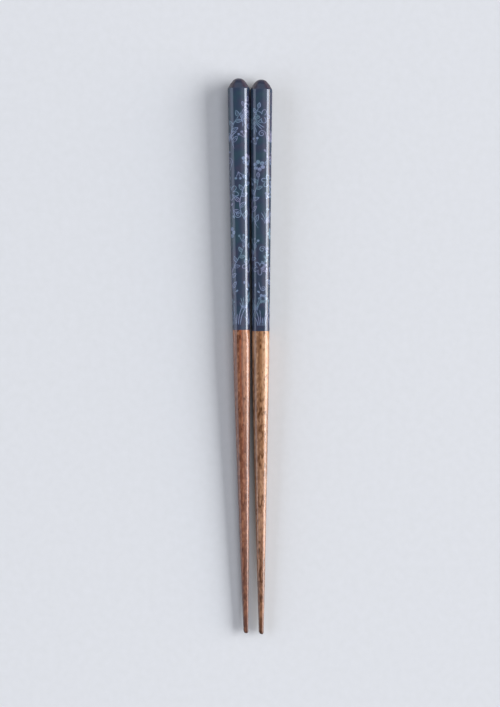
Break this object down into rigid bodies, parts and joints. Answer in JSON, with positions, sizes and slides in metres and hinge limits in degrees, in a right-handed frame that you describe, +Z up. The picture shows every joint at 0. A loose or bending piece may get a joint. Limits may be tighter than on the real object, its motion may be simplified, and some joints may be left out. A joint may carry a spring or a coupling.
{
  "type": "pair of wooden chopsticks",
  "caption": "Pair of tapered eight-sided wooden chopsticks with lacquered handles and bare tips, lying side by side.",
  "frame": {"origin": "middle of the pair's footprint, on the surface that the sticks lie on", "axes": "+Y along the sticks towards their handles, +Z up, +X to the right when seen from above with the handles away from the viewer"},
  "size_m": [0.0185, 0.2305, 0.0092],
  "materials": {
    "lacquered_wood": "gloss"
  },
  "bodies": {
    "root": {"left_chopstick": "lacquered_wood", "right_chopstick": "lacquered_wood"}
  },
  "joints": []
}
